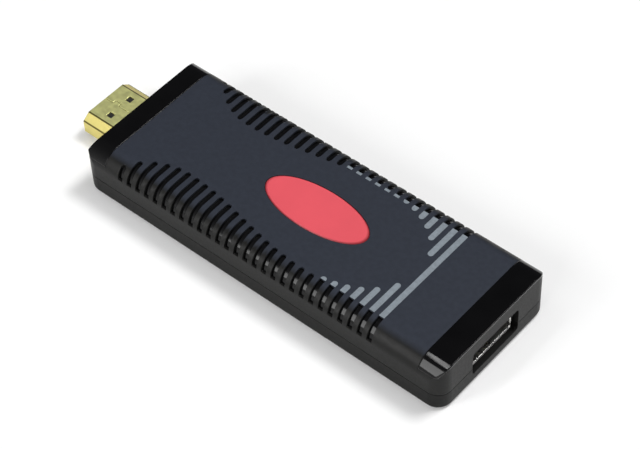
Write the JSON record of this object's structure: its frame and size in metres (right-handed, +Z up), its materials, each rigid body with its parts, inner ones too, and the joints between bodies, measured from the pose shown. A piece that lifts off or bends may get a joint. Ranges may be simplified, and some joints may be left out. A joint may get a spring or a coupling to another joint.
{
  "type": "streaming stick",
  "caption": "Slim streaming stick with an HDMI plug at one end, a USB-A socket at the other and slotted long edges.",
  "frame": {"origin": "centre of the whole length and width, plug included, on the surface that the stick lies on", "axes": "+X from the HDMI plug towards the USB socket, +Y towards the side with the power inlet, +Z up out of the slotted top"},
  "size_m": [0.1036, 0.0336, 0.0125],
  "materials": {
    "matt_cover": "fine matt texture, dark blue-grey",
    "matt_base": "fine matt texture, near black",
    "gloss_black": "high gloss black",
    "red_gloss": "smooth satin red",
    "board_green": "solder mask",
    "steel_screw": "bright",
    "gold_plate": "bright gold plate",
    "black_insulator": "moulded",
    "gold_contact": "bright gold plate",
    "nickel_shell": "bright nickel plate",
    "switch_body": "moulded",
    "switch_plunger": "moulded",
    "chip_black": "moulded epoxy",
    "thermal_rubber": "soft",
    "sink_aluminium": "bare",
    "shield_can": "tinned",
    "antenna_ceramic": "fired",
    "inductor_grey": "ferrite",
    "capacitor_tan": "fired",
    "led_white": "clear resin",
    "receiver_dark": "dark resin"
  },
  "bodies": {
    "stick": {"top_cover": "matt_cover", "bottom_cover": "matt_base", "gloss_liner": "gloss_black", "red_lens": "red_gloss", "main_board": "board_green", "board_screws": "steel_screw", "hdmi_shell": "gold_plate", "hdmi_insulator": "black_insulator", "hdmi_contacts": "gold_contact", "usb_shell": "nickel_shell", "usb_tongue": "black_insulator", "usb_contacts": "gold_contact", "micro_usb_shell": "nickel_shell", "micro_usb_tongue": "black_insulator", "micro_usb_contacts": "gold_contact", "card_tray": "black_insulator", "card_cage": "nickel_shell", "card_contacts": "gold_contact", "reset_switch": "switch_body", "processor": "chip_black", "thermal_pad": "thermal_rubber", "heat_sink": "sink_aluminium", "memory_chip": "chip_black", "flash_chip": "chip_black", "wifi_module": "shield_can", "wifi_antenna": "antenna_ceramic", "power_chip": "chip_black", "power_inductors": "inductor_grey", "capacitors": "capacitor_tan", "crystals": "shield_can", "status_led": "led_white", "ir_receiver": "receiver_dark"},
    "reset_plunger": {"reset_plunger": "switch_plunger"}
  },
  "joints": [
    {"name": "reset_press", "type": "slide", "parent": "stick", "child": "reset_plunger", "axis": [0, -1, 0], "range_m": [0, 0.00025], "stiffness_N_per_m": 800}
  ]
}
